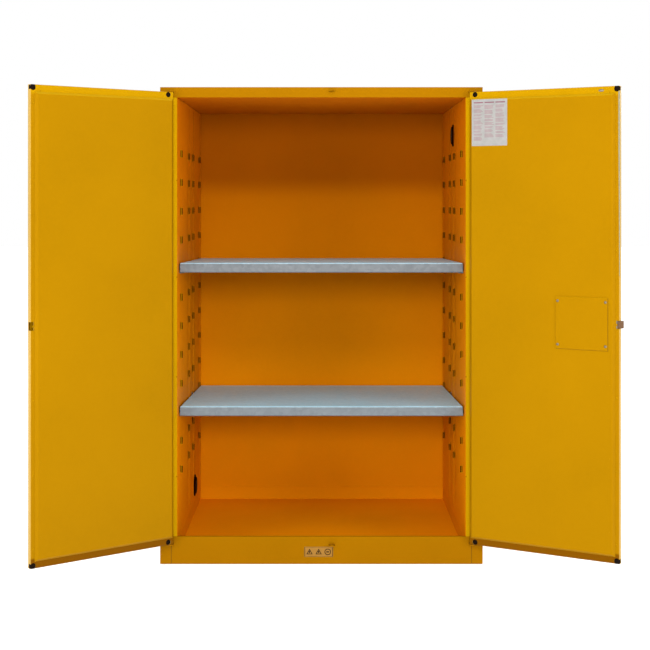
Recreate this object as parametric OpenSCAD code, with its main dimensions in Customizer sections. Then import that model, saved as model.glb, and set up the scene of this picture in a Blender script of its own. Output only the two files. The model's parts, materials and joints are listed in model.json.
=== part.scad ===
// Two-door flammable storage cabinet: double-wall steel body, louvered liner,
// two sloping galvanised shelves, overlay pan doors on pivot pins, three-point latch.
// Origin: centre of the footprint on the floor. +X right, +Y to the back, +Z up.

/* [Body] */
// Overall width of the body
body_w = 1100; // [1000:10:1200]
// Overall depth of the body
body_d = 864; // [800:10:900]
// Overall height of the body
body_h = 1628; // [1600:4:1700]
// Sheet thickness of the body and doors
sheet = 1.5; // [1.2:0.1:2]
// Distance between the outer and inner side skins
wall_gap = 58; // [45:1:60]
// Thickness of the roof and its air gap
roof_gap = 35; // [30:1:45]
// Height of the lower edge of the doors
door_z0 = 76; // [60:1:90]
// Height of the leak-proof sill above the floor line
sill_h = 96; // [90:1:110]

/* [Doors] */
// Thickness of a door over its raised inner panel
door_t = 30; // [26:1:34]
// Opening angle of the left door as drawn
left_open = 144.2; // [100:0.1:160]
// Opening angle of the right door as drawn
right_open = 151.7; // [100:0.1:160]

/* [Interior] */
// Height of the front edge of the upper shelf
upper_shelf_z = 1026; // [900:2:1100]
// How far the upper shelf falls towards the back
upper_fall = 16; // [0:1:40]
// Height of the front edge of the lower shelf
lower_shelf_z = 532; // [450:2:600]
// How far the lower shelf falls towards the back
lower_fall = 34; // [0:1:40]
// Depth of a shelf, front to back
shelf_d = 750; // [600:10:760]
// Vertical distance between two louvers
louver_pitch = 100; // [90:1:102]
// Louvers in each column
louver_rows = 12; // [8:1:12]

/* [Hidden] */
$fn = 48;

yellow = [0.82, 0.56, 0.02];
deep_yellow = [0.70, 0.40, 0.02];
zinc = [0.62, 0.63, 0.65];
dark = [0.12, 0.12, 0.13];

front_y = -body_d / 2;
back_y = body_d / 2;
foot_h = 2;
bottom_z = foot_h + 8;                      // underside of the bottom sheet
flange_x = body_w / 2 - 38;                 // inner edge of each side's front flange
frame_y = front_y + sheet;                  // back of the flat front frame
liner_x = body_w / 2 - wall_gap;            // inner face of the side liners
back_gap = 24;
liner_back_y = back_y - back_gap;           // front face of the back liner
ceiling_z = body_h - roof_gap;
floor_z = 31;                               // top face of the sump floor
pan_rise = 50;                              // upstand of the sump pan
pan_y = frame_y + 0.7;                      // front face of the sump pan, behind the base panel
eps = 0.3;                                  // gap between pieces that only face each other

// Doors, drawn closed with the outer face at y = 0 and x growing from the hinge side
door_edge = 517.5;                          // where a door's x = 0 lies, from the middle
pivot_in = [6.7, 12];                       // pivot axis in a door's own x and y
pivot_r = 2.6;
pivot_x = door_edge - pivot_in[0];
shut_gap = 2;                               // between a shut door and the frame
pivot_y = front_y - shut_gap - door_t + pivot_in[1];
door_w = door_edge - 1.5;
door_x0 = 1.5;
door_h = body_h - 19 - door_z0;
rim_d = door_t - 9;                         // depth of the outer pan, without the raised panel
rim_w = 32;                                 // inward flange of the outer pan
panel_free = 14;                            // inset of the raised panel from the free edge
panel_hinge = 3;                            // and from the hinge edge
panel_end = 22;                             // and from the top and bottom edges
mid_z = 843;                                // height of the latch and handle
cover_x = 307;
cover_w = 173;
cover_h = 170;
rod_x = door_w - 34;
rod_y = 12;
rod_r = 5;
keeper_x = door_edge - rod_x;               // where the rods stand when the door is shut
bolt_h = 24;
bolt_t = 10;

// Louver columns, as depths behind the front face
louver_cols = [112, 365, 520, 764];
louver_top_z = 1404;
louver_half = 9;                            // half the length of a louver
louver_h = 26;
louver_out = 5;                             // how far a louver stands into the cabinet
lance_t = 1.2;                              // metal left over a louver's pocket

left_vent = [596, 140];                     // depth behind the front, height
right_vent = [418, 1484];
vent_r = 30;

shelf_x = liner_x - louver_out - 0.5;
shelf_y0 = front_y + 45;
shelf_lip = 33;

module box(x0, x1, y0, y1, z0, z1) {
    translate([x0, y0, z0]) cube([x1 - x0, y1 - y0, z1 - z0]);
}

// A door is drawn closed with its outer face at y = 0, then swung to its open angle
module from_pivot() translate([-pivot_in[0], -pivot_in[1], 0]) children();
module at_left() translate([-pivot_x, pivot_y, 0]) rotate([0, 0, -left_open])
    from_pivot() children();
module at_right() translate([pivot_x, pivot_y, 0]) rotate([0, 0, right_open])
    mirror([1, 0, 0]) from_pivot() children();

// ---------------------------------------------------------------- body
// Side skin in plan: rear flange, wall and front flange; the header takes the flange's top
module outer_side() difference() {
    linear_extrude(height = body_h - sheet - foot_h) polygon([
        [body_w / 2, front_y], [body_w / 2, back_y], [body_w / 2 - 20, back_y],
        [body_w / 2 - 20, back_y - sheet], [body_w / 2 - sheet, back_y - sheet],
        [body_w / 2 - sheet, frame_y], [flange_x, frame_y], [flange_x, front_y]]);
    box(0, body_w, front_y - 1, frame_y + 0.2, ceiling_z - 0.2 - foot_h, body_h);
}

module vent_hole(at, r) {
    translate([-body_w, front_y + at[0], at[1]]) rotate([0, 90, 0]) cylinder(r = r, h = 2 * body_w);
}

module left_outer_side() color(yellow) difference() {
    translate([0, 0, foot_h]) mirror([1, 0, 0]) outer_side();
    intersection() { vent_hole(left_vent, vent_r + 2); box(-body_w, 0, -1000, 1000, 0, body_h); }
}

module right_outer_side() color(yellow) difference() {
    translate([0, 0, foot_h]) outer_side();
    intersection() { vent_hole(right_vent, vent_r + 2); box(0, body_w, -1000, 1000, 0, body_h); }
}

// Roof, bent down over the front as the header
module outer_top() color(yellow) union() {
    box(-body_w / 2, body_w / 2, front_y, back_y, body_h - sheet, body_h);
    box(-body_w / 2, body_w / 2, front_y, frame_y, ceiling_z, body_h);
}

module outer_back() color(yellow)
    box(-body_w / 2 + 21, body_w / 2 - 21, back_y - sheet, back_y, foot_h, body_h - sheet);

module outer_bottom() color(yellow) difference() {
    box(-body_w / 2 + sheet, body_w / 2 - sheet, front_y + 40, back_y - sheet - eps,
        bottom_z, bottom_z + sheet);
    for (p = foot_at) translate([p[0], p[1], 0]) cylinder(r = 6, h = 40);
}

// Base panel between the side flanges, folded back over the sill and under the body
module base_front() color(yellow) union() {
    box(-flange_x + eps, flange_x - eps, front_y, frame_y, foot_h, sill_h);
    box(-liner_x - 2, liner_x + 2, front_y, front_y + 8, sill_h - sheet, sill_h);
    box(-flange_x + eps, flange_x - eps, front_y, front_y + 14, foot_h, foot_h + sheet);
}

// One lanced louver: a ramp pressed into the cabinet, open towards the front
module at_louver(col, row)
    translate([liner_x, front_y + col, louver_top_z - row * louver_pitch]) children();

// The wedge of a louver, or with the metal's thickness as inset, the pocket behind it
module lanced(inset) {
    wall_x = inset > 0 ? 2 * sheet : sheet / 2;
    translate([0, 0, -louver_h / 2 + inset]) linear_extrude(height = louver_h - 2 * inset)
        polygon([[wall_x, -louver_half - inset], [inset - louver_out, -louver_half - inset],
            [min(wall_x, 1), louver_half - inset], [wall_x, louver_half - inset]]);
}

// Side liner: louvered wall bent outwards at the front to meet the side's flange
module side_liner() difference() {
    union() {
        box(liner_x, liner_x + sheet, front_y, liner_back_y - eps, sill_h + eps,
            ceiling_z - eps);
        box(liner_x, liner_x + sheet, front_y + 9, liner_back_y - eps,
            floor_z + pan_rise + 0.2, sill_h + 1);
        for (col = louver_cols, row = [0:louver_rows - 1]) at_louver(col, row) lanced(0);
        box(liner_x, flange_x - eps, front_y, frame_y, sill_h + eps, ceiling_z - eps);
    }
    for (col = louver_cols, row = [0:louver_rows - 1]) at_louver(col, row) lanced(lance_t);
}

module left_liner() color(deep_yellow) difference() {
    mirror([1, 0, 0]) side_liner();
    intersection() { vent_hole(left_vent, vent_r + 2); box(-body_w, 0, -1000, 1000, 0, body_h); }
}

module right_liner() color(deep_yellow) difference() {
    side_liner();
    intersection() { vent_hole(right_vent, vent_r + 2); box(0, body_w, -1000, 1000, 0, body_h); }
}

module back_liner() color(deep_yellow)
    box(-liner_x, liner_x, liner_back_y, liner_back_y + sheet, floor_z + pan_rise + 0.2,
        ceiling_z - eps);

module ceiling_liner() color(deep_yellow)
    box(-liner_x, liner_x, frame_y + 0.7, liner_back_y, ceiling_z, ceiling_z + sheet);

// Liquid-tight tray with a raised front sill
module sump_pan() color(deep_yellow) difference() {
    union() {
        box(-liner_x - sheet, liner_x + sheet, pan_y, liner_back_y + sheet,
            floor_z - sheet, floor_z + pan_rise);
        box(-liner_x - sheet, liner_x + sheet, pan_y, pan_y + sheet, floor_z, sill_h - sheet - 0.2);
    }
    box(-liner_x, liner_x, pan_y + sheet, liner_back_y, floor_z, sill_h + 1);
}

// ---------------------------------------------------------------- door pivots
// Two lugs that stand out from the frame above and below a door, each with its pin
module pivot_brackets() for (top = [0, 1])
    translate([0, 0, top ? door_z0 + door_h + 1 : door_z0 - 4]) union() {
        box(-9, 9, 0, front_y - 0.1 - pivot_y, 0, 3);
        cylinder(r = 9, h = 3);
        translate([0, 0, top ? -14 : 2]) cylinder(r = pivot_r, h = 15);
    }

// Bushes inside the top and bottom rims of a door
module pivot_bushes() for (z = [door_z0 + sheet + 0.1, door_z0 + door_h - sheet - 10.1])
    translate([pivot_in[0], pivot_in[1], z]) difference() {
        cylinder(r = 3.6, h = 10);
        translate([0, 0, -1]) cylinder(r = pivot_r + 0.15, h = 12);
    }

module left_pivot_brackets() color(yellow) translate([-pivot_x, pivot_y, 0]) pivot_brackets();
module right_pivot_brackets() color(yellow) translate([pivot_x, pivot_y, 0]) pivot_brackets();
module left_pivot_bushes() color(dark) at_left() pivot_bushes();
module right_pivot_bushes() color(dark) at_right() pivot_bushes();

// ---------------------------------------------------------------- shelves
// A tray shelf turned down at its edges, with its front edge at front_z
module shelf(front_z, fall) translate([0, shelf_y0, front_z]) rotate([-atan(fall / shelf_d), 0, 0])
    difference() {
        box(-shelf_x, shelf_x, 0, shelf_d, -shelf_lip, 0);
        box(-shelf_x + sheet, shelf_x - sheet, sheet, shelf_d - sheet, sheet - shelf_lip, -sheet);
        box(-shelf_x + 14, shelf_x - 14, 14, shelf_d - 14, -shelf_lip - 1, -sheet);
    }

module upper_shelf() color(zinc) shelf(upper_shelf_z, upper_fall);
module lower_shelf() color(zinc) shelf(lower_shelf_z, lower_fall);

// Height of the louver nearest to a shelf's front edge
function louver_near(z) = louver_top_z - round((louver_top_z - z) / louver_pitch) * louver_pitch;

// A bracket hooked into one louver of the liner, with a tab under the shelf
module hanger(col, front_z, fall) {
    z = louver_near(front_z);
    y = front_y + col;
    rest_z = front_z - shelf_lip - 0.8 - (y - 12 - shelf_y0) * fall / shelf_d;
    box(liner_x - 1.7, liner_x - 0.2, y - 34, y - 12, rest_z - 2, z + 10);
    box(liner_x - 16, liner_x - 0.2, y - 34, y - 12, rest_z - 2, rest_z);
    box(liner_x - 1.7, liner_x - 0.2, y - 12.1, y - 5, z - 8, z + 8);
}

module hangers(front_z, fall) for (side = [0, 1]) mirror([side, 0, 0]) {
    hanger(louver_cols[0], front_z, fall);
    hanger(louver_cols[2], front_z, fall);
}

module upper_shelf_hangers() color(zinc) hangers(upper_shelf_z, upper_fall);
module lower_shelf_hangers() color(zinc) hangers(lower_shelf_z, lower_fall);

// ---------------------------------------------------------------- vents
vent_len = wall_gap - 2 * sheet;

// Drawn along +X from the inner face of the liner, on the right side
module vent_tube(at) translate([liner_x, front_y + at[0], at[1]]) rotate([0, 90, 0])
    difference() {
        union() {
            translate([0, 0, -3]) cylinder(r = vent_r + 11, h = 2.8);
            translate([0, 0, -8]) cylinder(r = vent_r + 1.7, h = vent_len + 11);
        }
        translate([0, 0, -9]) cylinder(r = vent_r, h = vent_len + 15);
    }

module vent_screen(at) translate([liner_x - 7, front_y + at[0], at[1]]) rotate([0, 90, 0])
    difference() {
        cylinder(r = vent_r - 0.2, h = 2);
        for (i = [-4:4], j = [-4:4])
            if (norm([i, j]) < 4.3) translate([i * 6 - 2, j * 6 - 2, -1]) cube([4, 4, 4]);
    }

module vent_cap(at) translate([body_w / 2 + 0.2, front_y + at[0], at[1]]) rotate([0, 90, 0])
    union() {
        cylinder(r = vent_r + 8, h = 7);
        translate([0, 0, 7]) cylinder(r = 14, h = 7, $fn = 8);
        translate([0, 0, -8]) cylinder(r = vent_r - 0.5, h = 8);
    }

module left_vent_tube() color(yellow) mirror([1, 0, 0]) vent_tube(left_vent);
module right_vent_tube() color(yellow) vent_tube(right_vent);
module left_vent_screen() color(zinc) mirror([1, 0, 0]) vent_screen(left_vent);
module right_vent_screen() color(zinc) vent_screen(right_vent);
module left_vent_cap() color(yellow) mirror([1, 0, 0]) vent_cap(left_vent);
module right_vent_cap() color(yellow) vent_cap(right_vent);

// ---------------------------------------------------------------- base and small parts
foot_at = [for (x = [-1, 1], y = [-1, 1]) [x * (body_w / 2 - 70), y * (body_d / 2 - 70)]];

module leveling_feet() color(dark) for (p = foot_at) translate([p[0], p[1], 0]) {
    cylinder(r = 18, h = 6);
    translate([0, 0, 6]) cylinder(r = 5, h = 18);
}

module foot_brackets() color(yellow) for (p = foot_at)
    translate([p[0], p[1], bottom_z + sheet + 0.1]) difference() {
        translate([-25, -25, 0]) cube([50, 50, 12]);
        translate([0, 0, -1]) cylinder(r = 5.2, h = 20);
    }

module ground_screw() color(zinc) translate([body_w / 2 + 0.1, back_y - 80, 120])
    rotate([0, 90, 0]) union() {
        cylinder(r = 9, h = 1.6);
        translate([0, 0, 1.6]) cylinder(r = 6.5, h = 5, $fn = 6);
    }

// Tabs on the header and the base panel, each with a hole for a rod's end
module latch_keepers() color(yellow) for (z = [door_z0 + door_h + 5, door_z0 - 7.5])
    translate([keeper_x, front_y - shut_gap - door_t + rod_y, z]) difference() {
        translate([-10, -9, 0]) cube([20, shut_gap + door_t - rod_y + 8.9, 2.5]);
        translate([0, 0, -1]) cylinder(r = rod_r + 1.2, h = 6);
    }

module base_plate_label() color([0.75, 0.55, 0.2])
    box(-59, 40, front_y - 0.8, front_y - 0.05, 26, 61);

// ---------------------------------------------------------------- doors
module corner_holes() for (top = [0, 1], free = [0, 1])
    translate([door_x0 + (free ? door_w - door_x0 - 9 : 20), 9, door_z0 + (top ? door_h - 9.5 : 9.5)])
        rotate([-90, 0, 0]) cylinder(r = 9, h = 30);

module door_skin() difference() {
    box(door_x0, door_w, 0, rim_d, door_z0, door_z0 + door_h);
    box(door_x0 + sheet, door_w - sheet, sheet, rim_d - sheet, door_z0 + sheet,
        door_z0 + door_h - sheet);
    box(door_x0 + rim_w, door_w - rim_w, rim_d - 2 * sheet, rim_d + 1, door_z0 + rim_w,
        door_z0 + door_h - rim_w);
    corner_holes();
    translate([pivot_in[0], pivot_in[1], door_z0 - 1]) cylinder(r = pivot_r + 0.15, h = door_h + 2);
}

module door_panel() difference() {
    box(door_x0 + panel_hinge, door_w - panel_free, rim_d + 0.05, door_t, door_z0 + panel_end,
        door_z0 + door_h - panel_end);
    box(door_x0 + panel_hinge + sheet, door_w - panel_free - sheet, rim_d - 1, door_t - sheet,
        door_z0 + panel_end + sheet, door_z0 + door_h - panel_end - sheet);
}

module bolt_slot(grow) {
    translate([door_w - 20, rod_y - bolt_t / 2 - grow, mid_z - bolt_h / 2 - grow])
        cube([40, bolt_t + 2 * grow, bolt_h + 2 * grow]);
    translate([door_w - 11, rod_y, mid_z - bolt_h / 2 - grow])
        cube([20, door_t, bolt_h + 2 * grow]);
}

module left_door_skin() color(yellow) at_left() difference() {
    door_skin();
    bolt_slot(1.5);
}

module left_door_panel() color(yellow) at_left() door_panel();

module left_door_strike() color(dark) at_left() difference() {
    box(door_w - sheet - 2.2, door_w - sheet - 0.2, 4, 19, mid_z - 28, mid_z + 28);
    bolt_slot(1.5);
}

module right_door_skin() color(yellow) at_right() difference() {
    door_skin();
    bolt_slot(0.8);
    translate([rod_x, rod_y, door_z0 - 1]) cylinder(r = rod_r + 0.8, h = door_h + 2);
    box(cup_x0, cup_x1, -1, sheet + 0.5, mid_z - cup_h / 2, mid_z + cup_h / 2);
}

module right_door_panel() color(yellow) at_right() difference() {
    door_panel();
    box(cover_x + 12, cover_x + cover_w - 12, rim_d, door_t + 1, mid_z - cover_h / 2 + 12,
        mid_z + cover_h / 2 - 12);
}

cup_x0 = door_w - 190;
cup_x1 = door_w - 90;
cup_h = 150;
cup_d = 18;

module latch_case() color(zinc) at_right() difference() {
    box(door_w - 62, door_w - 8, 3, 19.2, mid_z - 45, mid_z + 45);
    box(door_w - 60, door_w - 7, 4.5, 17.7, mid_z - 43, mid_z + 43);
    translate([rod_x, rod_y, mid_z - 60]) cylinder(r = rod_r + 0.6, h = 120);
}

module rod_guides() color(zinc) at_right() for (z = [door_z0 + 250, door_z0 + door_h - 250])
    difference() {
        box(rod_x - 12, rod_x + 12, sheet + 0.1, 19.2, z - 10, z + 10);
        translate([rod_x, rod_y, z - 20]) cylinder(r = rod_r + 0.6, h = 40);
    }

module handle_cup() color(dark) at_right() difference() {
    union() {
        box(cup_x0 - 8, cup_x1 + 8, -2, -0.2, mid_z - cup_h / 2 - 8, mid_z + cup_h / 2 + 8);
        box(cup_x0 + 0.5, cup_x1 - 0.5, -2, cup_d, mid_z - cup_h / 2 + 0.5,
            mid_z + cup_h / 2 - 0.5);
    }
    box(cup_x0 + 2.5, cup_x1 - 2.5, -3, cup_d - 2, mid_z - cup_h / 2 + 2.5,
        mid_z + cup_h / 2 - 2.5);
}

module access_cover() color(yellow) at_right()
    box(cover_x, cover_x + cover_w, door_t + 0.1, door_t + 1.6, mid_z - cover_h / 2,
        mid_z + cover_h / 2);

module access_screws() color(zinc) at_right()
    for (x = [cover_x + 7, cover_x + cover_w - 7], z = [-1, 1] * (cover_h / 2 - 14))
        translate([x, door_t + 1.7, mid_z + z]) rotate([-90, 0, 0]) cylinder(r = 4.2, h = 2.4);

module door_label() color([0.85, 0.82, 0.8]) at_right()
    box(door_x0 + 12, door_x0 + 138, door_t + 0.05, door_t + 0.35, 1425, 1582);

// Paddle, drawn standing out of its cup as it does while the rods are held back
paddle_tilt = 25;
paddle_y = 9;
paddle_z = mid_z + cup_h / 2 - 14;

module paddle_frame() at_right() translate([0, paddle_y, paddle_z]) rotate([-paddle_tilt, 0, 0])
    children();

module handle_paddle() color(dark) paddle_frame() difference() {
    union() {
        translate([cup_x0 + 4, 0, 0]) rotate([0, 90, 0])
            cylinder(r = 5, h = cup_x1 - cup_x0 - 8);
        box(cup_x0 + 6, cup_x1 - 6, -4, 2, -112, 0);
        box(cup_x0 + 6, cup_x1 - 6, -8, 2, -118, -106);
    }
    translate([(cup_x0 + cup_x1) / 2, -20, -50]) rotate([-90, 0, 0]) cylinder(r = 11.2, h = 40);
}

module lock_plug() color(zinc) paddle_frame() difference() {
    translate([(cup_x0 + cup_x1) / 2, -6, -50]) rotate([-90, 0, 0]) cylinder(r = 11, h = 8);
    translate([(cup_x0 + cup_x1) / 2 - 1, -7, -55]) cube([2, 4, 10]);
}

module top_rod() color(zinc) at_right() translate([rod_x, rod_y, mid_z + 14])
    cylinder(r = rod_r, h = door_z0 + door_h - 1 - mid_z - 14);

module bottom_rod() color(zinc) at_right() translate([rod_x, rod_y, door_z0 + 1])
    cylinder(r = rod_r, h = mid_z - 14 - door_z0 - 1);

module latch_bolt() color(zinc) at_right() difference() {
    box(door_w - 16, door_w + 10, rod_y - bolt_t / 2, rod_y + bolt_t / 2, mid_z - bolt_h / 2,
        mid_z + bolt_h / 2);
    translate([door_w + 10, rod_y + bolt_t / 2, mid_z - 20]) rotate([0, 0, 45])
        translate([-5, -5, 0]) cube([10, 10, 40]);
}

left_outer_side();
right_outer_side();
outer_top();
outer_back();
outer_bottom();
base_front();
left_liner();
right_liner();
back_liner();
ceiling_liner();
sump_pan();
left_pivot_brackets();
right_pivot_brackets();
upper_shelf();
lower_shelf();
upper_shelf_hangers();
lower_shelf_hangers();
left_vent_tube();
right_vent_tube();
left_vent_screen();
right_vent_screen();
left_vent_cap();
right_vent_cap();
leveling_feet();
foot_brackets();
ground_screw();
latch_keepers();
base_plate_label();
left_door_skin();
left_door_panel();
left_pivot_bushes();
left_door_strike();
right_door_skin();
right_door_panel();
right_pivot_bushes();
latch_case();
rod_guides();
handle_cup();
access_cover();
access_screws();
door_label();
handle_paddle();
lock_plug();
top_rod();
bottom_rod();
latch_bolt();
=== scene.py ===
"""Looks of the flammable storage cabinet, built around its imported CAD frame. Metres."""

import json
import math
import random

import bmesh
import bpy
from mathutils import Matrix, Vector


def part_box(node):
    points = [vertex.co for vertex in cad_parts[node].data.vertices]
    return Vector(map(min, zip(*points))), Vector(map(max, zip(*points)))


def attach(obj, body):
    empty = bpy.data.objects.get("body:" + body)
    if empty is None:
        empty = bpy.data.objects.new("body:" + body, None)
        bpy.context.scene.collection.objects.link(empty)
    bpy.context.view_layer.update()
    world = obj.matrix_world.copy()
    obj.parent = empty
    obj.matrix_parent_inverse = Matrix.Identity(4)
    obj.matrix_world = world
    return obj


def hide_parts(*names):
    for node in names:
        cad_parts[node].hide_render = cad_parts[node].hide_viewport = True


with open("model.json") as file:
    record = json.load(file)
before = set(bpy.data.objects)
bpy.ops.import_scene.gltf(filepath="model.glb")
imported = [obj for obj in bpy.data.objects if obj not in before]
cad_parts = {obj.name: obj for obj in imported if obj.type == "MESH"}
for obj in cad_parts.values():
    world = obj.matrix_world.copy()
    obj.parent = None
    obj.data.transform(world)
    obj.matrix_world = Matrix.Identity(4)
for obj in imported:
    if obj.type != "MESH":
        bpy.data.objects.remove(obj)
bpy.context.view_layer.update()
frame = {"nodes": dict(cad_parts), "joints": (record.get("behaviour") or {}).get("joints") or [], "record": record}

MM = 0.001
UP, FORWARD = (0, 0, 1), (0, -1, 0)
INWARDS = (0, 1, 0)                 # from a shut door's outer face, in its own axes
random.seed(7)

# ---------------------------------------------------------------- sizes of the cabinet
JOINTS = {j["name"]: j for j in frame["joints"]}
FRONT_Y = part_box("outer_top")[0].y
LINER_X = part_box("right_liner")[0].x
LINER_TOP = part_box("right_liner")[1].z
FLANGE_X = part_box("base_front")[1].x
SILL_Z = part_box("base_front")[1].z
SHEET = 1.5 * MM

# louvers in the inner side walls: columns by depth behind the front face, rows down from the top one
LOUVER_DEPTHS = (112 * MM, 365 * MM, 520 * MM, 764 * MM)
LOUVER_TOP = 1404 * MM
LOUVER_PITCH = 100 * MM
LOUVER_ROWS = 12

# shelves, each a tray set back from the front face
SHELF_BACK = 45 * MM
SHELF_LENGTH = 750 * MM
SHELF_LIP = 33 * MM
SHELF_RETURN = 14 * MM

# ---------------------------------------------------------------- sizes of a door
# A shut door's own axes are x from its hinge side, y inwards from its outer face, and z up.
PIVOT_IN = (6.7 * MM, 12 * MM)      # pivot axis in x and y
EDGE_GAP = 1.5 * MM
DOOR_X0 = EDGE_GAP                  # x of the hinge edge
DOOR_W = JOINTS["right_door_hinge"]["pos_m"][0] + PIVOT_IN[0] - EDGE_GAP    # x of the free edge
DOOR_Z0, DOOR_Z1 = (corner.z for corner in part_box("left_door_skin"))
DOOR_T = 30 * MM
MID_Z = 843 * MM                    # height of the latch, the handle and the cover
BEND = 2.2 * MM                     # outer radius of the pan's bends
RIM_D = 21 * MM                     # depth of the rim that the raised panel stands on
RIM_W = 32 * MM                     # how far the rim reaches in from the edges
PANEL_FREE, PANEL_HINGE, PANEL_END = 14 * MM, 3 * MM, 22 * MM    # panel's margins
PANEL_SLOPE = 8 * MM
HOLE_R = 9 * MM                     # corner holes, as (x, z)
HOLES = [(x, z) for x in (DOOR_X0 + 20 * MM, DOOR_W - 9 * MM)
         for z in (DOOR_Z0 + 9.5 * MM, DOOR_Z1 - 9.5 * MM)]
BOLT_Y0, BOLT_Y1 = 7 * MM, 17 * MM  # slot for the latch bolt, before the gap round it
BOLT_HALF = 12 * MM
ROD_X, ROD_Y = DOOR_W - 34 * MM, 12 * MM
ROD_HOLE_R = 5.8 * MM
CUP_X0, CUP_X1 = DOOR_W - 190 * MM, DOOR_W - 90 * MM    # opening for the handle
CUP_HALF = 75 * MM
COVER_X, COVER_W, COVER_H = 307 * MM, 173 * MM, 170 * MM
COVER_T = 2.6 * MM


# ---------------------------------------------------------------- materials
def link(tree, a, b):
    """Joins output a to input b."""
    tree.links.new(a, b)


def node(tree, kind, **values):
    """A shader node with its properties set by name."""
    made = tree.nodes.new(kind)
    for key, value in values.items():
        setattr(made, key, value)
    return made


def noise(tree, coords, scale, detail=4.0, rough=0.55):
    """Cloudy noise from 0 to 1 over the object's coordinates."""
    made = node(tree, "ShaderNodeTexNoise")
    made.inputs["Scale"].default_value = scale
    made.inputs["Detail"].default_value = detail
    made.inputs["Roughness"].default_value = rough
    link(tree, coords, made.inputs["Vector"])
    return made.outputs["Fac"]


def ramp(tree, value, stops):
    """A colour ramp; stops are (position, (r, g, b))."""
    made = node(tree, "ShaderNodeValToRGB")
    elements = made.color_ramp.elements
    elements[0].position, elements[-1].position = stops[0][0], stops[-1][0]
    for extra in stops[1:-1]:
        elements.new(extra[0])
    for element, (_, colour) in zip(elements, stops):
        element.color = (*colour, 1)
    link(tree, value, made.inputs["Fac"])
    return made.outputs["Color"]


def bump(tree, height, distance, strength=1.0, normal=None):
    """A normal bent by height, on top of another bump's normal if one is given."""
    made = node(tree, "ShaderNodeBump")
    made.inputs["Strength"].default_value = strength
    made.inputs["Distance"].default_value = distance
    link(tree, height, made.inputs["Height"])
    if normal is not None:
        link(tree, normal, made.inputs["Normal"])
    return made.outputs["Normal"]


def start(name):
    """A new material: its tree, its Principled shader and the object coordinates."""
    made = bpy.data.materials.new(name)
    made.use_nodes = True
    tree = made.node_tree
    shader = tree.nodes["Principled BSDF"]
    coords = node(tree, "ShaderNodeTexCoord").outputs["Object"]
    return made, tree, shader, coords


def scaled(colour, k):
    """A colour made k times as light."""
    return tuple(min(1.0, c * k) for c in colour)


def toned(tree, value, colour):
    """A colour that drifts a little with value."""
    return ramp(tree, value, [(0.3, scaled(colour, 0.93)), (0.5, colour), (0.72, scaled(colour, 1.06))])


def between(tree, value, low, high):
    """A value from 0 to 1 spread from low to high."""
    made = node(tree, "ShaderNodeMapRange")
    made.inputs["To Min"].default_value = low
    made.inputs["To Max"].default_value = high
    link(tree, value, made.inputs["Value"])
    return made.outputs["Result"]


def blend(tree, factor, a, b):
    """Colour a where factor is 0 and colour b where it is 1."""
    made = node(tree, "ShaderNodeMix", data_type="RGBA")
    link(tree, factor, made.inputs[0])
    link(tree, a, made.inputs[6])
    link(tree, b, made.inputs[7])
    return made.outputs[2]


def mixture(tree, share, a, b):
    """Two values mixed, with this share of b."""
    made = node(tree, "ShaderNodeMix", data_type="FLOAT")
    made.inputs[0].default_value = share
    link(tree, a, made.inputs[2])
    link(tree, b, made.inputs[3])
    return made.outputs[0]


def stretched(tree, coords, scale):
    """Coordinates scaled by a different amount along each axis."""
    made = node(tree, "ShaderNodeMapping")
    made.inputs["Scale"].default_value = scale
    link(tree, coords, made.inputs["Vector"])
    return made.outputs["Vector"]


def facing(tree, direction):
    """How far the surface looks along a direction: 1 straight along it, 0 across it."""
    made = node(tree, "ShaderNodeVectorMath", operation="DOT_PRODUCT")
    link(tree, node(tree, "ShaderNodeTexCoord").outputs["Normal"], made.inputs[0])
    made.inputs[1].default_value = direction
    return made.outputs["Value"]


def risen(tree, coords, z_none, z_full):
    """0 at height z_none, rising smoothly to 1 at height z_full."""
    split = node(tree, "ShaderNodeSeparateXYZ")
    link(tree, coords, split.inputs["Vector"])
    made = node(tree, "ShaderNodeMapRange", interpolation_type="SMOOTHSTEP")
    made.inputs["From Min"].default_value = z_none
    made.inputs["From Max"].default_value = z_full
    link(tree, split.outputs["Z"], made.inputs["Value"])
    return made.outputs["Result"]


def finish_shader(tree, shader, colour, roughness, normal, specular):
    """Joins a material's colour, roughness and normal to its shader, and sets its specular level."""
    link(tree, colour, shader.inputs["Base Color"])
    link(tree, roughness, shader.inputs["Roughness"])
    link(tree, normal, shader.inputs["Normal"])
    shader.inputs["Specular IOR Level"].default_value = specular


def paint(name, colour, rough=0.42, wave=1.0, levels=(), facings=()):
    """Baked enamel on sheet steel: cloudy tone, orange peel and oil-canning.
    levels are tones that take over between two heights in metres, and
    facings are tones that take over on faces that look along a direction."""
    made, tree, shader, coords = start(name)
    drift = mixture(tree, 0.22, noise(tree, coords, 2.2, 5), noise(tree, coords, 90, 3))
    tone = toned(tree, drift, colour)
    # where given, the levels and facings carry painted light, shade and highlights
    for level_tone, z_none, z_full in levels:
        tone = blend(tree, risen(tree, coords, z_none, z_full), tone, toned(tree, drift, level_tone))
    for facing_tone, direction in facings:
        tone = blend(tree, facing(tree, direction), tone, toned(tree, drift, facing_tone))
    gloss = between(tree, noise(tree, coords, 14, 6), rough - 0.07, rough + 0.1)
    slow = bump(tree, noise(tree, coords, 1.7, 1, 0.3), 0.012 * wave, 0.25)
    grain = bump(tree, noise(tree, coords, 420, 2, 0.5), 0.0003, 0.35, slow)
    finish_shader(tree, shader, tone, gloss, grain, 0.15)
    shader.inputs["Specular Tint"].default_value = (1.0, 0.55, 0.02, 1)
    return made


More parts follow.
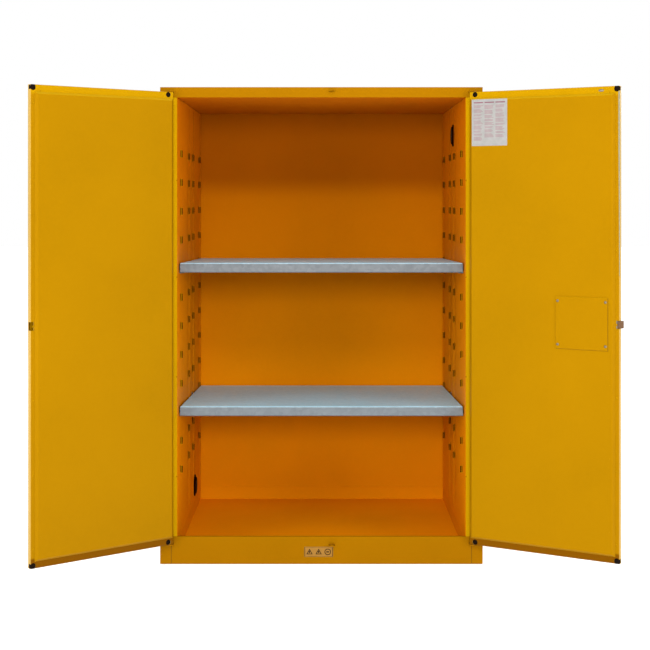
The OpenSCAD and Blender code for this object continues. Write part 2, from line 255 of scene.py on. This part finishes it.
def spangled(name):
    """Hot-dip galvanised sheet: crystals of different tone and gloss. Its lips are darker, as painted shade, and
    its up-facing top lighter and bluer, as painted light that cancels the orange bounce.
    """
    made, tree, shader, coords = start(name)
    cells = node(tree, "ShaderNodeTexVoronoi")
    cells.inputs["Scale"].default_value = 95
    link(tree, stretched(tree, coords, (1.0, 1.7, 1.0)), cells.inputs["Vector"])
    split = node(tree, "ShaderNodeSeparateColor")
    link(tree, cells.outputs["Color"], split.inputs["Color"])
    drift = mixture(tree, 0.55, split.outputs["Red"], noise(tree, coords, 6, 6))
    lip_shade_stops = [(0.1, (0.077, 0.08, 0.083)), (0.5, (0.09, 0.093, 0.097)), (0.9, (0.11, 0.114, 0.118))]
    top_lit_stops = [(0.1, (0.36, 0.61, 0.73)), (0.5, (0.4, 0.68, 0.82)), (0.9, (0.45, 0.75, 0.89))]
    # painted shade on the lips, painted light on the up-facing top
    tone = blend(tree, facing(tree, UP), ramp(tree, drift, lip_shade_stops), ramp(tree, drift, top_lit_stops))
    gloss = between(tree, split.outputs["Green"], 0.38, 0.62)
    finish_shader(tree, shader, tone, gloss, bump(tree, cells.outputs["Distance"], 0.0004, 0.2), 0.3)
    shader.inputs["Metallic"].default_value = 0.15
    return made


def plated(name, colour, rough=0.5):
    """Zinc-plated or brushed steel, streaked along one way."""
    made, tree, shader, coords = start(name)
    streak = noise(tree, stretched(tree, coords, (60, 60, 900)), 1.0, 3)
    tone = ramp(tree, streak, [(0.3, scaled(colour, 0.8)), (0.7, scaled(colour, 1.12))])
    gloss = between(tree, noise(tree, coords, 120, 4), rough - 0.1, rough + 0.12)
    finish_shader(tree, shader, tone, gloss, bump(tree, streak, 0.00015, 0.3), 0.5)
    shader.inputs["Metallic"].default_value = 0.9
    return made


def moulded(name, colour, rough=0.5, grain=0.0002, shine=0.5):
    """Moulded plastic, rubber or printed film with a fine texture."""
    made, tree, shader, coords = start(name)
    tone = ramp(tree, noise(tree, coords, 60, 4), [(0.3, scaled(colour, 0.9)), (0.7, scaled(colour, 1.08))])
    gloss = between(tree, noise(tree, coords, 35, 3), rough - 0.08, rough + 0.08)
    finish_shader(tree, shader, tone, gloss, bump(tree, noise(tree, coords, 900, 2), grain, 0.3), shine)
    return made


DOOR_WAVE = 1.3
LINER_ROUGH = 0.55
FILM_GRAIN = 0.00005
INK_GRAIN = 0.00003

# painted shade: the frame's enamel is the doors' yellow set darker
BODY_SHADE_TONE = (0.222, 0.088, 0.0003)
DOOR_TONE = (0.262, 0.124, 0.0003)
# painted light: the door enamel is lighter on faces that look up
DOOR_UP_LIT_TONE = (0.42, 0.24, 0.0003)
# painted highlight: a paler tone on the doors' free edges
FREE_EDGE_HIGHLIGHT_TONE = (0.4, 0.25, 0.05)
# painted shadow: a darker tone on the door pans' foot rims, below the raised panel
FOOT_RIM_SHADOW_TONE = (0.13, 0.045, 0.0003)
# painted light: a lighter tone on the door pans' head rims
HEAD_RIM_LIT_TONE = (0.33, 0.172, 0.0003)
# painted shade: the inside's enamels are the doors' yellow tuned oranger for the interior's shade and bounce
CEILING_SHADE_TONE = (0.43, 0.104, 0.0003)
LINER_SHADE_TONE = (0.41, 0.112, 0.0003)
# painted shadow: the header's shadow on the upper liner
LINER_HEADER_SHADOW_TONE = (0.285, 0.063, 0.0003)
# painted light: the liner is lighter lower down
LINER_LOW_LIT_TONE = (0.63, 0.2, 0.001)
# painted light: the liner is lighter on faces that look up
LINER_UP_LIT_TONE = (0.79, 0.255, 0.001)
# painted light: the side walls are lighter than the liner, and lighter still lower down
WALL_LIT_TONE = (0.57, 0.152, 0.0005)
WALL_LOW_LIT_TONE = (0.68, 0.212, 0.001)
# painted light: a brighter tone on the side liners' forward-facing jamb lips
STILE_FRONT_LIT_TONE = (0.36, 0.19, 0.0003)

MATERIALS = {
    "body_paint": paint("body_paint_enamel", BODY_SHADE_TONE),
    # door enamel with painted light on its up-facing faces
    "door_paint": paint("door_paint_enamel", DOOR_TONE, wave=DOOR_WAVE, facings=[(DOOR_UP_LIT_TONE, UP)]),
    # liner enamel with painted header shadow at the top, painted light lower down and on up-facing faces
    "liner_paint": paint("liner_paint_enamel", LINER_SHADE_TONE, LINER_ROUGH,
                         levels=[(LINER_HEADER_SHADOW_TONE, 1.24, 1.34), (LINER_LOW_LIT_TONE, 1.3, 0.35)],
                         facings=[(LINER_UP_LIT_TONE, UP)]),
    "galvanised": spangled("galvanised_spangle"),
    # the vent screens are real; their near-black tone is painted shade for the vents' dark mouths
    "screen_wire": plated("screen_wire_shaded_steel", (0.02, 0.015, 0.01), 0.6),
    "zinc_plate": plated("zinc_plate_steel", (0.2, 0.17, 0.13)),
    "black_plastic": moulded("black_moulded", (0.006, 0.003, 0.0015), 0.8, shine=0.04),
    "paper_label": moulded("paper_film", (0.222, 0.219, 0.207), 0.55, FILM_GRAIN),
    "amber_label": moulded("amber_film", (0.235, 0.112, 0.014), 0.55, FILM_GRAIN, shine=0.15),
}
INK_RED = moulded("ink_red", (0.13, 0.035, 0.055), 0.5, INK_GRAIN)
INK_ROSE = moulded("ink_rose", (0.2, 0.125, 0.132), 0.5, INK_GRAIN)
INK_DARK = moulded("ink_dark", (0.012, 0.006, 0.002), 0.6, INK_GRAIN, shine=0.05)
# painted shade: near-black for the vent tubes and the louvers' mouths
SHADE_BLACK = moulded("unlit_dark", (0.009, 0.0015, 0.0003), 0.9, shine=0.0)
# painted shade: dark strips in the base seams and round the cover plate
SEAM_SHADE = moulded("seam_shade_dark", (0.07, 0.028, 0.0005), 0.7, shine=0.1)
# painted highlight: a pale strip on the right door's free corner
EDGE_HIGHLIGHT = moulded("painted_edge_highlight", (0.22, 0.195, 0.11), 0.6, shine=0.1)
# side-wall enamel with painted light, lighter lower down and on the forward-facing jamb lips
WALL_PAINT = paint("liner_wall_enamel", WALL_LIT_TONE, LINER_ROUGH, levels=[(WALL_LOW_LIT_TONE, 1.45, 0.35)],
                   facings=[(STILE_FRONT_LIT_TONE, FORWARD)])
FINISH_OF = {
    "left_liner": WALL_PAINT,
    "right_liner": WALL_PAINT,
    # ceiling enamel: the oranger interior copy, painted shade
    "ceiling_liner": paint("liner_ceiling_enamel", CEILING_SHADE_TONE, LINER_ROUGH),
    # painted shade: the vent tubes are black
    "left_vent_tube": SHADE_BLACK,
    "right_vent_tube": SHADE_BLACK,
    "latch_bolt": plated("worn_bolt_steel", (0.12, 0.065, 0.035)),
}
SLOT_OF = {p["node"]: p["material_slot"] for p in frame["record"]["subparts"]}


def dress(name):
    """A kept CAD node: its finish, welded vertices and softly rounded edges."""
    obj = frame["nodes"][name]
    obj.data.materials.clear()
    obj.data.materials.append(FINISH_OF.get(name, MATERIALS[SLOT_OF[name]]))
    weld = obj.modifiers.new("weld", "WELD")
    weld.merge_threshold = 0.00002
    round_off = obj.modifiers.new("bends", "BEVEL")
    round_off.width = 0.5 * MM
    round_off.segments = 2
    round_off.limit_method = "ANGLE"
    round_off.angle_limit = math.radians(40)


# ---------------------------------------------------------------- places of the doors
def door_matrix(side):
    """From a shut door's own axes (x from the hinge, y inwards, z up) to its rest pose."""
    joint = JOINTS[side + "_door_hinge"]
    x, y, _ = joint["pos_m"]
    shut = joint["range_deg"][1] if side == "left" else joint["range_deg"][0]
    turn = Matrix.Translation((x, y, 0)) @ Matrix.Rotation(-math.radians(shut), 4, "Z")
    flip = Matrix.Identity(4) if side == "left" else Matrix.Scale(-1, 4, (1, 0, 0))
    return turn @ flip @ Matrix.Translation((-PIVOT_IN[0], -PIVOT_IN[1], 0))


LEFT, RIGHT = door_matrix("left"), door_matrix("right")
HERE = Matrix.Identity(4)


# ---------------------------------------------------------------- mesh helpers
def finish_mesh(bm, name, body, slot, matrix=HERE, material=None, smooth=False):
    """Turns bm into a piece that rides a body and takes a slot's finish."""
    bmesh.ops.remove_doubles(bm, verts=bm.verts, dist=1e-6)
    bmesh.ops.transform(bm, matrix=matrix, verts=bm.verts)
    bmesh.ops.recalc_face_normals(bm, faces=bm.faces)
    mesh = bpy.data.meshes.new(name)
    bm.to_mesh(mesh)
    bm.free()
    obj = bpy.data.objects.new(name, mesh)
    bpy.context.scene.collection.objects.link(obj)
    mesh.materials.append(material or MATERIALS[slot])
    for face in mesh.polygons:
        face.use_smooth = smooth
    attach(obj, body)
    return obj


def arc(cx, cy, r, a0, a1, steps=4):
    """Points of a bend from angle a0 to a1, in degrees."""
    found = []
    for i in range(steps + 1):
        a = math.radians(a0 + (a1 - a0) * i / steps)
        found.append((cx + r * math.cos(a), cy + r * math.sin(a)))
    return found


def band(bm, a, b):
    """Faces between two closed rows of the same length."""
    for i in range(len(a)):
        j = (i + 1) % len(a)
        bm.faces.new((a[i], a[j], b[j], b[i]))


def swept_tray(bm, x0, x1, z0, z1, profile):
    """Sweeps profile, a list of (inset, y), round a rectangle with mitred corners, and closes its middle."""
    rings = []
    for inset, y in profile:
        left, right, low, high = x0 + inset, x1 - inset, z0 + inset, z1 - inset
        corners = [(left, low), (right, low), (right, high), (left, high)]
        rings.append([bm.verts.new((x, y, z)) for x, z in corners])
    for a, b in zip(rings, rings[1:]):
        band(bm, a, b)
    bm.faces.new(rings[0])
    bm.faces.new(rings[-1])


def cut(obj, cutters):
    """Subtracts other meshes from obj, then removes them."""
    for tool in cutters:
        hole = obj.modifiers.new("cut", "BOOLEAN")
        hole.operation = "DIFFERENCE"
        hole.solver = "EXACT"
        hole.object = tool
    bpy.context.view_layer.update()
    graph = bpy.context.evaluated_depsgraph_get()
    result = bpy.data.meshes.new_from_object(obj.evaluated_get(graph))
    obj.modifiers.clear()
    obj.data = result
    for tool in cutters:
        bpy.data.objects.remove(tool)


def slab(bm, x0, x1, y0, y1, z0, z1):
    """A plain block between two corners; returns its vertices."""
    made = bmesh.ops.create_cube(bm, size=1)["verts"]
    bmesh.ops.scale(bm, verts=made, vec=(x1 - x0, y1 - y0, z1 - z0))
    bmesh.ops.translate(bm, verts=made, vec=((x0 + x1) / 2, (y0 + y1) / 2, (z0 + z1) / 2))
    return made


def soft_box(bm, x0, x1, y0, y1, z0, z1, r, segments=3):
    """A block with rounded edges."""
    made = slab(bm, x0, x1, y0, y1, z0, z1)
    edges = [e for e in bm.edges if e.verts[0] in made]
    bmesh.ops.bevel(bm, geom=edges, offset=r, segments=segments, affect="EDGES", profile=0.5)


def rod(bm, r, length, place, segments, along_y=False):
    """A cylinder with its middle at place, upright or along y."""
    made = bmesh.ops.create_cone(bm, cap_ends=True, segments=segments,
                                 radius1=r, radius2=r, depth=length)["verts"]
    if along_y:
        bmesh.ops.rotate(bm, verts=made, cent=(0, 0, 0), matrix=Matrix.Rotation(math.pi / 2, 3, "X"))
    bmesh.ops.translate(bm, verts=made, vec=place)


def cutter(bm, matrix):
    """A helper mesh that isn't part of the object, for cut to subtract."""
    bmesh.ops.transform(bm, matrix=matrix, verts=bm.verts)
    bmesh.ops.recalc_face_normals(bm, faces=bm.faces)
    mesh = bpy.data.meshes.new("cutter")
    bm.to_mesh(mesh)
    bm.free()
    obj = bpy.data.objects.new("cutter", mesh)
    bpy.context.scene.collection.objects.link(obj)
    return obj


def rod_cutter(r, length, place, segments, matrix, along_y=False):
    """A cylinder to subtract."""
    bm = bmesh.new()
    rod(bm, r, length, place, segments, along_y)
    return cutter(bm, matrix)


def box_cutter(x0, x1, y0, y1, z0, z1, matrix):
    """A block to subtract."""
    bm = bmesh.new()
    slab(bm, x0, x1, y0, y1, z0, z1)
    return cutter(bm, matrix)


def dome(bm, x, y, z, r, h, towards, rings=4, segments=16):
    """A low round cap, such as a weld spot or a screw head, that stands out towards a direction."""
    turn = Vector(UP).rotation_difference(Vector(towards)).to_matrix()
    rows = []
    for k in range(rings + 1):
        a = math.pi / 2 * k / rings
        row = []
        for i in range(segments):
            t = 2 * math.pi * i / segments
            p = Vector((r * math.cos(a) * math.cos(t), r * math.cos(a) * math.sin(t), h * math.sin(a)))
            row.append(bm.verts.new(turn @ p + Vector((x, y, z))))
            if k == rings:
                break
        rows.append(row)
    for a, b in zip(rows, rows[1:-1]):
        band(bm, a, b)
    rim, tip = rows[-2], rows[-1][0]
    for i in range(segments):
        bm.faces.new((rim[i], rim[(i + 1) % segments], tip))
    bm.faces.new(rows[0][::-1])


def folded_edge(bend, depth, flange):
    """The section of a sheet tray's edge as (inset, depth) points: rolled over, turned down and returned."""
    inner = bend - SHEET
    profile = [(bend, 0.0)]
    profile += arc(bend, bend, bend, 270, 180)[1:]
    profile += arc(bend, depth - bend, bend, 180, 90)
    profile += [(flange, depth), (flange, depth - SHEET), (bend, depth - SHEET)]
    profile += arc(bend, depth - bend, inner, 90, 180)[1:]
    profile += arc(bend, bend, inner, 180, 270)
    return profile


# ---------------------------------------------------------------- doors
def pan_holes(side, matrix):
    """Cutters for a pan: corner holes, the bolt's slot and rim notch, rod holes and the handle's opening."""
    cutters = [rod_cutter(HOLE_R, 30 * MM, (x, 24 * MM, z), 40, matrix, along_y=True) for x, z in HOLES]
    grow = 1.5 * MM if side == "left" else 0.8 * MM
    reach = BOLT_HALF + grow
    slot = (DOOR_W - 20 * MM, BOLT_Y0 - grow, BOLT_Y1 + grow)
    notch = (DOOR_W - 11 * MM, 12 * MM, DOOR_T)
    for x, y0, y1 in (slot, notch):
        cutters.append(box_cutter(x, DOOR_W + 5 * MM, y0, y1, MID_Z - reach, MID_Z + reach, matrix))
    if side == "right":
        for z in (DOOR_Z0, DOOR_Z1):
            cutters.append(rod_cutter(ROD_HOLE_R, 12 * MM, (ROD_X, ROD_Y, z), 32, matrix))
        z0, z1 = MID_Z - CUP_HALF, MID_Z + CUP_HALF
        cutters.append(box_cutter(CUP_X0, CUP_X1, -5 * MM, 2 * MM, z0, z1, matrix))
    return cutters


def door_pan(side, matrix):
    """The outer pan: face, rolled rims and the inward flange that carries the raised panel.
    Its foot rim is darker as painted shadow, its head rim lighter as painted light and its free edge paler as a
    painted highlight."""
    bm = bmesh.new()
    swept_tray(bm, DOOR_X0, DOOR_W, DOOR_Z0, DOOR_Z1, folded_edge(BEND, RIM_D, RIM_W))
    free_way = tuple((matrix.to_3x3() @ Vector((1, 0, 0))).normalized())
    # painted shadow on the foot rim, painted light on the head rim, painted highlight on the free edge
    enamel = paint(side + "_pan_enamel", DOOR_TONE, wave=DOOR_WAVE,
                   levels=[(FOOT_RIM_SHADOW_TONE, 0.112, 0.104), (HEAD_RIM_LIT_TONE, 1.575, 1.585)],
                   facings=[(FREE_EDGE_HIGHLIGHT_TONE, free_way)])
    pan = finish_mesh(bm, side + "_pan", side + "_door", "door_paint", matrix, material=enamel)
    cut(pan, pan_holes(side, matrix))
    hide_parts(side + "_door_skin")


def door_panel(side, matrix):
    """The raised inner panel: a sloping border that rolls over into a flat middle."""
    seat = RIM_D + 0.05 * MM
    roll = [(PANEL_SLOPE + 1.2 * MM, DOOR_T), (PANEL_SLOPE - 0.5 * MM, DOOR_T - 0.4 * MM),
            (PANEL_SLOPE - 1.6 * MM, DOOR_T - 1.3 * MM)]
    foot = [(0.3 * MM, RIM_D + 0.9 * MM), (0.0, seat)]
    under = [(2 * MM, seat), (PANEL_SLOPE + 2 * MM, DOOR_T - SHEET)]
    bm = bmesh.new()
    swept_tray(bm, DOOR_X0 + PANEL_HINGE, DOOR_W - PANEL_FREE, DOOR_Z0 + PANEL_END, DOOR_Z1 - PANEL_END,
               roll + foot + under)
    panel = finish_mesh(bm, side + "_inner_panel", side + "_door", "door_paint", matrix)
    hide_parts(side + "_door_panel")


def corner_plugs(side, matrix):
    """Black rubber buttons in the corner holes; the free-edge ones wrap the door's corner."""
    bm = bmesh.new()
    proud, tall = 0.3 * MM, 17.5 * MM
    outer = DOOR_W + proud
    for x, z in HOLES:
        if x < DOOR_W / 2:
            dome(bm, x, RIM_D - 3 * MM, z, HOLE_R - 0.3 * MM, 3.4 * MM, towards=INWARDS, segments=28)
        else:
            z0, z1 = (DOOR_Z1 - tall, DOOR_Z1 + proud) if z > MID_Z else (DOOR_Z0 - proud, DOOR_Z0 + tall)
            soft_box(bm, outer - 18 * MM, outer, 6 * MM, RIM_D + 0.8 * MM, z0, z1, 3.5 * MM, 4)
    finish_mesh(bm, side + "_corner_plugs", side + "_door", "black_plastic", matrix, smooth=True)


def weld_marks(side, matrix):
    """Spot-weld dimples along the rim beside the panel."""
    bm = bmesh.new()
    count, inset = 7, 60 * MM
    for i in range(count):
        z = DOOR_Z0 + inset + (DOOR_Z1 - DOOR_Z0 - 2 * inset) * i / (count - 1)
        dome(bm, DOOR_W - PANEL_FREE + 4 * MM, RIM_D, z, 3.2 * MM, 1.0 * MM, towards=INWARDS)
        dome(bm, DOOR_W - PANEL_FREE - 16 * MM, DOOR_T, z + 40 * MM, 2.4 * MM, 0.5 * MM, towards=INWARDS)
    finish_mesh(bm, side + "_weld_marks", side + "_door", "door_paint", matrix, smooth=True)


for door_side, door_place in (("left", LEFT), ("right", RIGHT)):
    door_pan(door_side, door_place)
    door_panel(door_side, door_place)
    corner_plugs(door_side, door_place)
    weld_marks(door_side, door_place)


def rim_washer():
    """A zinc washer on the right door's top rim."""
    bm = bmesh.new()
    dome(bm, 0, 0, 0, 1.0, 1.0, towards=INWARDS, segments=28, rings=5)
    bmesh.ops.scale(bm, verts=bm.verts, vec=(9 * MM, 1.6 * MM, 4.5 * MM))
    bmesh.ops.translate(bm, verts=bm.verts, vec=(DOOR_W - 60 * MM, RIM_D, DOOR_Z1 - 13 * MM))
    finish_mesh(bm, "rim_washer", "right_door", "zinc_plate", RIGHT, smooth=True)


def corner_highlight_bead():
    """A pale strip wrapped over the right door's free corner, tapering away downwards: a painted highlight on the
    rounded edge.
    """
    bm = bmesh.new()
    proud = 0.5 * MM
    widths = ((1592 * MM, 4.2 * MM), (1400 * MM, 3.8 * MM), (1240 * MM, 2.4 * MM), (1000 * MM, 1.2 * MM))
    rows = []
    for z, wide in widths:
        section = ((-wide, 0.0), (-wide, proud), (0.0, proud), (proud, 0.0), (proud, -wide), (0.0, -wide))
        rows.append([bm.verts.new((DOOR_W + out, RIM_D + over, z)) for out, over in section])
    for a, b in zip(rows, rows[1:]):
        band(bm, a, b)
    bm.faces.new(rows[0])
    bm.faces.new(rows[-1][::-1])
    finish_mesh(bm, "corner_highlight_bead", "right_door", "door_paint", RIGHT, material=EDGE_HIGHLIGHT)


rim_washer()
corner_highlight_bead()


# ---------------------------------------------------------------- access cover and screws
def access_cover():
    """The cover plate over the latch, on a dark gasket set off towards its free side and foot, where it shows as
    the plate's painted shadow.
    """
    bm = bmesh.new()
    y0 = DOOR_T + 0.1 * MM
    z0, z1 = MID_Z - COVER_H / 2, MID_Z + COVER_H / 2
    soft_box(bm, COVER_X, COVER_X + COVER_W, y0, y0 + COVER_T, z0, z1, 0.9 * MM)
    plate = finish_mesh(bm, "cover_plate", "right_door", "door_paint", RIGHT)
    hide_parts("access_cover")
    bm = bmesh.new()
    # the gasket is shifted towards the free side and foot: a painted shadow of the plate
    out = 0.9 * MM
    slab(bm, COVER_X + out, COVER_X + COVER_W + out, DOOR_T + 0.02 * MM, DOOR_T + 0.5 * MM,
         z0 - out, z1 - out)
    finish_mesh(bm, "cover_gasket_shadow", "right_door", "door_paint", RIGHT, material=SEAM_SHADE)


def pan_screws():
    """Pan heads with a cross recess."""
    bm = bmesh.new()
    y = DOOR_T + COVER_T
    places = [(x, MID_Z + z) for x in (COVER_X + 7 * MM, COVER_X + COVER_W - 7 * MM)
              for z in (-COVER_H / 2 + 14 * MM, COVER_H / 2 - 14 * MM)]
    for x, z in places:
        dome(bm, x, y, z, 4.6 * MM, 2.4 * MM, towards=INWARDS, segments=24, rings=6)
    heads = finish_mesh(bm, "cover_screw_heads", "right_door", "zinc_plate", RIGHT, smooth=True)
    cutters = []
    long, thin = 2.5 * MM, 0.45 * MM
    for x, z in places:
        for wide, tall in ((long, thin), (thin, long)):
            cutters.append(box_cutter(x - wide, x + wide, y + 1.3 * MM, y + 5 * MM,
                                      z - tall, z + tall, RIGHT))
    cut(heads, cutters)
    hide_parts("access_screws")


access_cover()
pan_screws()


# ---------------------------------------------------------------- labels
def door_label():
    """A paper sheet with a header band and three columns of plain printed bars."""
    x0, x1, z0, z1 = DOOR_X0 + 12 * MM, DOOR_X0 + 138 * MM, 1425 * MM, 1582 * MM
    y = DOOR_T + 0.05 * MM
    bm = bmesh.new()
    soft_box(bm, x0, x1, y, y + 0.25 * MM, z0, z1, 0.1 * MM, 2)
    sheet = finish_mesh(bm, "label_sheet", "right_door", "paper_label", RIGHT)
    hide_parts("door_label")
    face, ink = y + 0.25 * MM, y + 0.3 * MM
    columns = [x0 + (7 + 39 * k) * MM for k in range(3)]
    bm = bmesh.new()
    for left in columns:
        slab(bm, left, left + 34 * MM, face, ink, z1 - 13 * MM, z1 - 9 * MM)
    finish_mesh(bm, "label_header", "right_door", "paper_label", RIGHT, material=INK_RED)
    bm = bmesh.new()
    for left in columns:
        z = z1 - 20 * MM
        while z > z0 + 30 * MM:
            lines = random.randint(2, 4)
            for _ in range(lines):
                width = random.uniform(24, 34) * MM
                slab(bm, left, left + width, face, ink, z - 2.0 * MM, z)
                z -= 3.4 * MM
            z -= 3.5 * MM
    finish_mesh(bm, "label_lines", "right_door", "paper_label", RIGHT, material=INK_ROSE)


def ring_shape(bm, points, y, inner):
    """A flat outline: points scaled from their centre to make the inner edge."""
    cx = sum(p[0] for p in points) / len(points)
    cz = sum(p[1] for p in points) / len(points)
    outer = [bm.verts.new((x, y, z)) for x, z in points]
    inside = [bm.verts.new((cx + (x - cx) * inner, y, cz + (z - cz) * inner)) for x, z in points]
    band(bm, outer, inside)


def round_points(cx, cz, r, count):
    """count points evenly round a circle, from its top."""
    turns = [2 * math.pi * i / count for i in range(count)]
    return [(cx + r * math.sin(a), cz + r * math.cos(a)) for a in turns]


def base_label():
    """A small amber plate with a dark border and three plain signs."""
    lo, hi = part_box("base_plate_label")
    bm = bmesh.new()
    soft_box(bm, lo.x, hi.x, lo.y, hi.y, lo.z, hi.z, 0.3 * MM, 2)
    plate = finish_mesh(bm, "base_plate", "cabinet", "amber_label")
    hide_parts("base_plate_label")
    y = lo.y - 0.02 * MM
    mid_x, mid_z = (lo.x + hi.x) / 2, (lo.z + hi.z) / 2
    margin, pitch, ink = 1.5 * MM, 31 * MM, 0.02 * MM
    x0, x1, z0, z1 = lo.x + margin, hi.x - margin, lo.z + margin, hi.z - margin
    bm = bmesh.new()
    ring_shape(bm, [(x0, z0), (x1, z0), (x1, z1), (x0, z1)], y, 0.965)
    for cx in (mid_x - pitch, mid_x):
        ring_shape(bm, round_points(cx, mid_z - 2 * MM, 12.5 * MM, 3), y, 0.62)
        slab(bm, cx - 1.8 * MM, cx + 1.8 * MM, y - ink, y, mid_z - 4 * MM, mid_z + 3 * MM)
    cx = mid_x + pitch
    ring_shape(bm, round_points(cx, mid_z, 11 * MM, 32), y, 0.76)
    slab(bm, cx - 5 * MM, cx + 5 * MM, y - ink, y, mid_z - 2.0 * MM, mid_z + 2.0 * MM)
    signs = finish_mesh(bm, "base_plate_signs", "cabinet", "amber_label", material=INK_DARK)
    thick = signs.modifiers.new("thick", "SOLIDIFY")
    thick.thickness = 0.03 * MM
    thick.offset = 0


door_label()
base_label()


# ---------------------------------------------------------------- shelves
def shelf(name, front_z, fall):
    """A galvanised tray shelf: rolled top edge, turned-down lips and return flanges, falling to the back."""
    lo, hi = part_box(name)
    bm = bmesh.new()
    swept_tray(bm, lo.x, hi.x, 0, SHELF_LENGTH, folded_edge(3 * MM, SHELF_LIP, SHELF_RETURN))
    # the tray is swept with its depth along y; here that turns to point down
    lie_down = Matrix(((1, 0, 0, 0), (0, 0, 1, 0), (0, -1, 0, 0), (0, 0, 0, 1)))
    tilt = Matrix.Rotation(-math.atan(fall / SHELF_LENGTH), 4, "X")
    place = Matrix.Translation((0, FRONT_Y + SHELF_BACK, front_z)) @ tilt @ lie_down
    made = finish_mesh(bm, name + "_tray", "cabinet", "galvanised", place)
    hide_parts(name)


shelf("upper_shelf", 1026 * MM, 16 * MM)
shelf("lower_shelf", 532 * MM, 34 * MM)


# ---------------------------------------------------------------- body details
def stile_welds():
    """Weld spots down both stiles of the front frame."""
    bm = bmesh.new()
    x = (LINER_X + FLANGE_X) / 2 - 6 * MM
    for side in (-1, 1):
        for z in (300, 640, 980, 1310):
            dome(bm, side * x, FRONT_Y, z * MM, 2.4 * MM, 0.5 * MM, towards=FORWARD)
    finish_mesh(bm, "stile_weld_spots", "cabinet", "body_paint", smooth=True)


def base_seam_shades():
    """Dark strips in the seams where the base front meets the side flanges: painted shade in the seams."""
    bm = bmesh.new()
    for side in (-1, 1):
        x = side * (FLANGE_X + 0.15 * MM)
        slab(bm, x - 0.8 * MM, x + 0.8 * MM, FRONT_Y - 0.15 * MM, FRONT_Y + 1.2 * MM, 4 * MM, 92 * MM)
    finish_mesh(bm, "base_seam_shades", "cabinet", "body_paint", material=SEAM_SHADE)


def wall_beads():
    """Shallow pressed beads just in front of every louver column but the first."""
    bm = bmesh.new()
    z0, z1 = SILL_Z + 25 * MM, LINER_TOP - 15 * MM
    steps, half_wide, proud = 8, 2 * MM, 1.0 * MM
    turns = [math.pi * (i / steps - 0.5) for i in range(steps + 1)]
    section = [(proud * math.cos(a), half_wide * math.sin(a)) for a in turns]
    for side in (-1, 1):
        for depth in LOUVER_DEPTHS[1:]:
            y = FRONT_Y + depth - 22 * MM
            low, high = [[bm.verts.new((side * (LINER_X - out), y + along, z)) for out, along in section]
                         for z in (z0, z1)]
            for i in range(steps):
                bm.faces.new((low[i], low[i + 1], high[i + 1], high[i]))
            bm.faces.new(low)
            bm.faces.new(high[::-1])
    finish_mesh(bm, "wall_beads", "cabinet", "liner_paint")


def louver_shade_strips():
    """Dark strips seated just inside the mouth of every louver: painted shade in the louvers' pockets."""
    bm = bmesh.new()
    half_tall = 11.6 * MM
    for side in (-1, 1):
        x0, x1 = sorted((side * (LINER_X - 2.6 * MM), side * (LINER_X + 0.8 * MM)))
        for depth in LOUVER_DEPTHS:
            y = FRONT_Y + depth - 8.4 * MM
            for row in range(LOUVER_ROWS):
                z = LOUVER_TOP - LOUVER_PITCH * row
                slab(bm, x0, x1, y, y + 1.2 * MM, z - half_tall, z + half_tall)
    finish_mesh(bm, "louver_shade_strips", "cabinet", "black_plastic", material=SHADE_BLACK)


stile_welds()
base_seam_shades()
wall_beads()
louver_shade_strips()

for kept in sorted(frame["nodes"]):
    if not frame["nodes"][kept].hide_render:
        dress(kept)


# ---------------------------------------------------------------- stage, light and camera
def stage_floor():
    """A plain pale floor, lit a little from within so that it stays white to its far edge."""
    bm = bmesh.new()
    bmesh.ops.create_grid(bm, x_segments=1, y_segments=1, size=30)
    mesh = bpy.data.meshes.new("floor")
    bm.to_mesh(mesh)
    bm.free()
    floor = bpy.data.objects.new("floor", mesh)
    bpy.context.scene.collection.objects.link(floor)
    made, tree, shader, coords = start("pale_floor")
    tone = ramp(tree, noise(tree, coords, 0.8, 2), [(0.3, (0.93, 0.93, 0.93)), (0.7, (0.97, 0.97, 0.97))])
    link(tree, tone, shader.inputs["Base Color"])
    shader.inputs["Roughness"].default_value = 0.9
    shader.inputs["Emission Color"].default_value = (1, 1, 1, 1)
    shader.inputs["Emission Strength"].default_value = 0.45
    mesh.materials.append(made)


def area(name, place, target, size, power):
    """A soft rectangular lamp that looks at target."""
    lamp = bpy.data.lights.new(name, "AREA")
    lamp.shape = "RECTANGLE"
    lamp.size, lamp.size_y = size
    lamp.energy = power
    obj = bpy.data.objects.new(name, lamp)
    obj.location = place
    obj.rotation_euler = (Vector(target) - Vector(place)).to_track_quat("-Z", "Y").to_euler()
    bpy.context.scene.collection.objects.link(obj)


LAMPS = (                           # name, place, target, size and watts
    ("key", (0.0, -5.6, 3.6), (0, 0, 0.75), (1.6, 0.9), 105),
    ("front", (0.0, -6.4, 1.9), (0, 0, 0.8), (1.0, 0.8), 150),
    ("side_left", (-4.2, -4.8, 1.7), (0, 0, 0.8), (1.4, 1.4), 92),
    ("side_right", (4.2, -4.8, 1.7), (0, 0, 0.8), (1.4, 1.4), 92),
    ("back_left", (-3.8, 4.4, 2.8), (0, 0.2, 0.9), (1.6, 1.6), 170),
    ("back_right", (3.8, 4.4, 2.8), (0, 0.2, 0.9), (1.6, 1.6), 170),
)
stage_floor()
world = bpy.data.worlds.new("studio")
world.use_nodes = True
world.node_tree.nodes["Background"].inputs["Color"].default_value = (1, 1, 1, 1)
world.node_tree.nodes["Background"].inputs["Strength"].default_value = 1.0
bpy.context.scene.world = world
for lamp_facts in LAMPS:
    area(*lamp_facts)

EYE_X, EYE_Z = 0.0056, 1.238
EYE_BACK = 4.4                      # camera's distance in front of the body's front face
camera = bpy.data.cameras.new("camera")
camera.lens = 71.47
camera.shift_x = 0.003
camera.shift_y = -0.190
camera.clip_end = 200
eye = bpy.data.objects.new("camera", camera)
eye.location = (EYE_X, FRONT_Y - EYE_BACK, EYE_Z)
eye.rotation_euler = (math.radians(90), 0, 0)
bpy.context.scene.collection.objects.link(eye)
bpy.context.scene.camera = eye
bpy.context.scene.view_settings.view_transform = "Standard"
